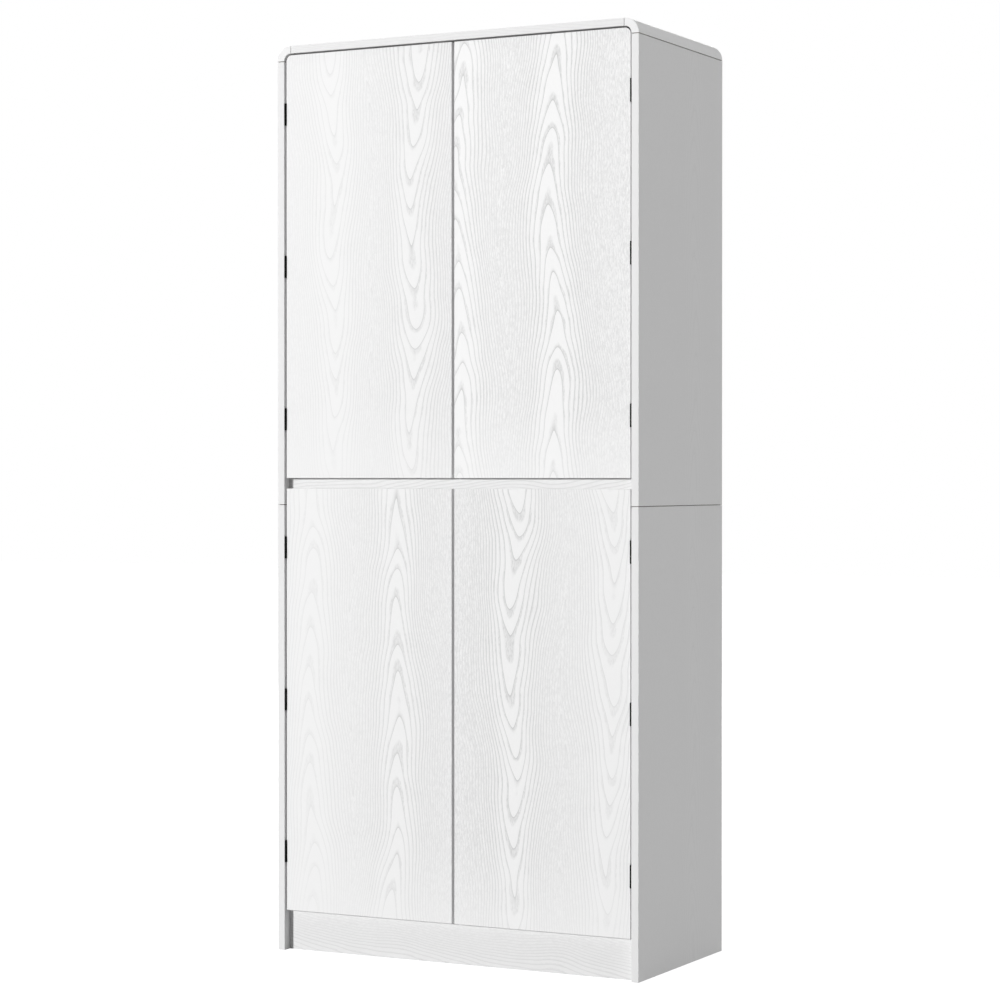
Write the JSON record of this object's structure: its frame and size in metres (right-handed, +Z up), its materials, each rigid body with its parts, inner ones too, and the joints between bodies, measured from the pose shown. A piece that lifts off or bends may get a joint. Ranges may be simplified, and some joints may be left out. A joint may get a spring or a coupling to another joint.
{
  "type": "pantry cabinet",
  "caption": "Tall white storage cabinet with rounded top corners, a plinth, and stacked pairs of inset hinged doors in front of adjustable shelves.",
  "frame": {"origin": "middle of the footprint, on the floor", "axes": "+X to the right seen from the front, -Y towards the front where the doors are, +Z up"},
  "size_m": [0.8, 0.4, 1.82],
  "materials": {
    "door_laminate": "white embossed woodgrain laminate on fibreboard, satin",
    "carcass_laminate": "white lightly grained laminate on fibreboard, satin",
    "rail_laminate": "white woodgrain laminate, grain along the board, satin",
    "shelf_laminate": "white woodgrain laminate, satin",
    "back_sheet": "white lacquered hardboard, matt",
    "hinge_black": "black, satin",
    "zinc_steel": "bright zinc plate",
    "cam_zinc": "cast zinc, dull",
    "peg_steel": "nickel plate",
    "dowel_wood": "plain beech",
    "white_plastic": "white moulded plastic",
    "bumper_rubber": "translucent soft pad"
  },
  "bodies": {
    "carcass": {"back_joining_strip": "white_plastic", "back_middle_rail": "rail_laminate", "back_plinth": "rail_laminate", "bottom_panel": "shelf_laminate", "bracket_screws": "zinc_steel", "cam_bolts": "zinc_steel", "cam_locks": "cam_zinc", "catch_screws": "zinc_steel", "door_bumpers": "bumper_rubber", "dowels": "dowel_wood", "frame_hinge_screws": "zinc_steel", "front_middle_rail": "rail_laminate", "front_plinth": "rail_laminate", "left_corner_moulding": "carcass_laminate", "left_side_lower": "carcass_laminate", "left_side_upper": "carcass_laminate", "lower_back_panel": "back_sheet", "lower_left_frame_hinge_leaves": "hinge_black", "lower_left_hinge_pins": "hinge_black", "lower_right_frame_hinge_leaves": "hinge_black", "lower_right_hinge_pins": "hinge_black", "lower_shelf_1": "shelf_laminate", "lower_shelf_2": "shelf_laminate", "magnetic_catches": "white_plastic", "middle_shelf": "shelf_laminate", "right_corner_moulding": "carcass_laminate", "right_side_lower": "carcass_laminate", "right_side_upper": "carcass_laminate", "shelf_pegs": "peg_steel", "top_panel": "carcass_laminate", "upper_back_panel": "back_sheet", "upper_left_frame_hinge_leaves": "hinge_black", "upper_left_hinge_pins": "hinge_black", "upper_right_frame_hinge_leaves": "hinge_black", "upper_right_hinge_pins": "hinge_black", "upper_shelf_1": "shelf_laminate", "upper_shelf_2": "shelf_laminate", "wall_brackets": "zinc_steel"},
    "upper_left_door": {"upper_left_door": "door_laminate", "upper_left_door_hinge_leaves": "hinge_black", "upper_left_door_screws": "zinc_steel", "upper_left_strike_plate": "zinc_steel"},
    "upper_right_door": {"upper_right_door": "door_laminate", "upper_right_door_hinge_leaves": "hinge_black", "upper_right_door_screws": "zinc_steel", "upper_right_strike_plate": "zinc_steel"},
    "lower_left_door": {"lower_left_door": "door_laminate", "lower_left_door_hinge_leaves": "hinge_black", "lower_left_door_screws": "zinc_steel", "lower_left_strike_plate": "zinc_steel"},
    "lower_right_door": {"lower_right_door": "door_laminate", "lower_right_door_hinge_leaves": "hinge_black", "lower_right_door_screws": "zinc_steel", "lower_right_strike_plate": "zinc_steel"}
  },
  "joints": [
    {"name": "upper_left_door_hinge", "type": "hinge", "parent": "carcass", "child": "upper_left_door", "pos_m": [-0.383, -0.1981, 1.377], "axis": [0, 0, -1], "range_deg": [0, 160]},
    {"name": "upper_right_door_hinge", "type": "hinge", "parent": "carcass", "child": "upper_right_door", "pos_m": [0.383, -0.1981, 1.377], "axis": [0, 0, 1], "range_deg": [0, 160]},
    {"name": "lower_left_door_hinge", "type": "hinge", "parent": "carcass", "child": "lower_left_door", "pos_m": [-0.383, -0.1981, 0.506], "axis": [0, 0, -1], "range_deg": [0, 160]},
    {"name": "lower_right_door_hinge", "type": "hinge", "parent": "carcass", "child": "lower_right_door", "pos_m": [0.383, -0.1981, 0.506], "axis": [0, 0, 1], "range_deg": [0, 160]}
  ]
}
